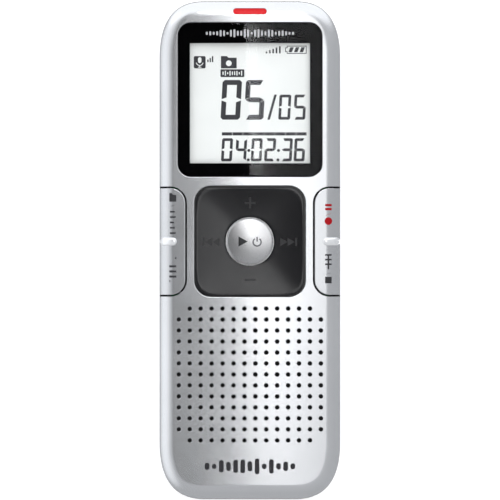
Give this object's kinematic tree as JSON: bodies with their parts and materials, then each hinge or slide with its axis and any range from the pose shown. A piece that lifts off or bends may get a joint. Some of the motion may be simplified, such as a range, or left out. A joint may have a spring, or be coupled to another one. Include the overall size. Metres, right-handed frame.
{
  "type": "pocket digital voice recorder",
  "caption": "Slim pocket voice recorder with a square display, rocking pad, play button, side rocker keys and speaker grille.",
  "frame": {"origin": "middle of the back, on the surface it lies on", "axes": "+Z out of the face, +Y towards the display end, +X towards the right side key"},
  "size_m": [0.039, 0.108, 0.018],
  "materials": {
    "silver_paint": "satin metallic paint over moulded plastic",
    "rear_plastic": "fine satin texture",
    "screw_steel": "dark plated",
    "label_film": "satin film",
    "lens_clear": "polished, printed black at the back",
    "black_tape": "matte",
    "black_plastic": "fine satin texture",
    "display_panel": "pale reflective liquid-crystal panel",
    "white_film": "matte",
    "silicone_grey": "matte",
    "light_red": "clear red moulding",
    "ceramic_white": "matte",
    "pad_graphite": "semi-gloss dark moulding",
    "spring_steel": "plated spring strip",
    "button_metal": "spun satin",
    "key_silver": "satin metallic paint over moulded plastic",
    "board_green": "solder mask",
    "socket_steel": "plated sheet",
    "cell_sleeve": "printed sleeve on a steel can",
    "chip_epoxy": "moulded epoxy",
    "ferrite": "matte",
    "capacitor_can": "drawn can",
    "ceramic_tan": "matte",
    "copper_wire": "enamelled wire",
    "cone_film": "thin pressed film",
    "foam_black": "soft foam",
    "dust_cloth": "fine woven mesh",
    "boot_rubber": "matte"
  },
  "bodies": {
    "root": {"audio_chip": "chip_epoxy", "back_dome": "spring_steel", "battery_left": "cell_sleeve", "battery_right": "cell_sleeve", "bridge_contact": "spring_steel", "case_screws": "screw_steel", "centre_dome": "spring_steel", "chip_capacitors": "ceramic_tan", "clock_crystal": "socket_steel", "display_connector_strip": "silicone_grey", "display_frame": "black_plastic", "display_glass": "display_panel", "display_lens": "lens_clear", "display_reflector": "white_film", "earphone_jack": "black_plastic", "forward_dome": "spring_steel", "front_shell": "silver_paint", "hold_switch": "black_plastic", "key_mat": "silicone_grey", "left_lower_dome": "spring_steel", "left_microphone": "capacitor_can", "left_microphone_boot": "boot_rubber", "left_upper_dome": "spring_steel", "lens_tape": "black_tape", "main_board": "board_green", "memory_chip": "chip_epoxy", "microphone_jack": "black_plastic", "negative_contact": "spring_steel", "positive_contact": "spring_steel", "power_chip": "chip_epoxy", "power_coil": "ferrite", "processor_chip": "chip_epoxy", "rating_label": "label_film", "rear_shell": "rear_plastic", "record_light_chip": "ceramic_white", "record_light_pipe": "light_red", "right_lower_dome": "spring_steel", "right_microphone": "capacitor_can", "right_microphone_boot": "boot_rubber", "right_upper_dome": "spring_steel", "speaker_basket": "socket_steel", "speaker_cloth": "dust_cloth", "speaker_gasket": "foam_black", "speaker_magnet": "ferrite", "tall_capacitors": "capacitor_can", "usb_socket": "socket_steel", "volume_down_dome": "spring_steel", "volume_up_dome": "spring_steel"},
    "play_button_body": {"play_button": "button_metal"},
    "pad_ring_body": {"pad_rocker_ring": "spring_steel"},
    "navigation_pad_body": {"navigation_pad": "pad_graphite"},
    "left_key_body": {"left_key": "key_silver"},
    "right_key_body": {"right_key": "key_silver"},
    "hold_slider_body": {"hold_slider": "black_plastic"},
    "battery_cover_body": {"battery_cover": "rear_plastic"},
    "speaker_cone_body": {"speaker_cone": "cone_film", "voice_coil": "copper_wire"}
  },
  "joints": [
    {"name": "play_press", "type": "slide", "parent": "root", "child": "play_button_body", "axis": [0, 0, -1], "range_m": [0, 0.0004], "stiffness_N_per_m": 900},
    {"name": "volume_rock", "type": "hinge", "parent": "root", "child": "pad_ring_body", "pos_m": [0, 0.0019, 0.01493], "axis": [1, 0, 0], "range_deg": [-1.5, 1.5], "stiffness_Nm_per_rad": 0.3},
    {"name": "skip_rock", "type": "hinge", "parent": "pad_ring_body", "child": "navigation_pad_body", "pos_m": [0, 0.0019, 0.01525], "axis": [0, 1, 0], "range_deg": [-1.5, 1.5], "stiffness_Nm_per_rad": 0.3},
    {"name": "left_key_rock", "type": "hinge", "parent": "root", "child": "left_key_body", "pos_m": [-0.0157, 0.00186, 0.0151], "axis": [1, 0, 0], "range_deg": [-1.5, 1.5], "stiffness_Nm_per_rad": 0.3},
    {"name": "right_key_rock", "type": "hinge", "parent": "root", "child": "right_key_body", "pos_m": [0.0157, 0.00186, 0.0151], "axis": [1, 0, 0], "range_deg": [-1.5, 1.5], "stiffness_Nm_per_rad": 0.3},
    {"name": "hold_slide", "type": "slide", "parent": "root", "child": "hold_slider_body", "axis": [0, 1, 0], "range_m": [0, 0.0025]},
    {"name": "battery_cover_slide", "type": "slide", "parent": "root", "child": "battery_cover_body", "axis": [0, -1, 0], "range_m": [0, 0.052]},
    {"name": "speaker_cone_stroke", "type": "slide", "parent": "root", "child": "speaker_cone_body", "axis": [0, 0, 1], "range_m": [-0.00015, 0.00015], "stiffness_N_per_m": 900}
  ]
}
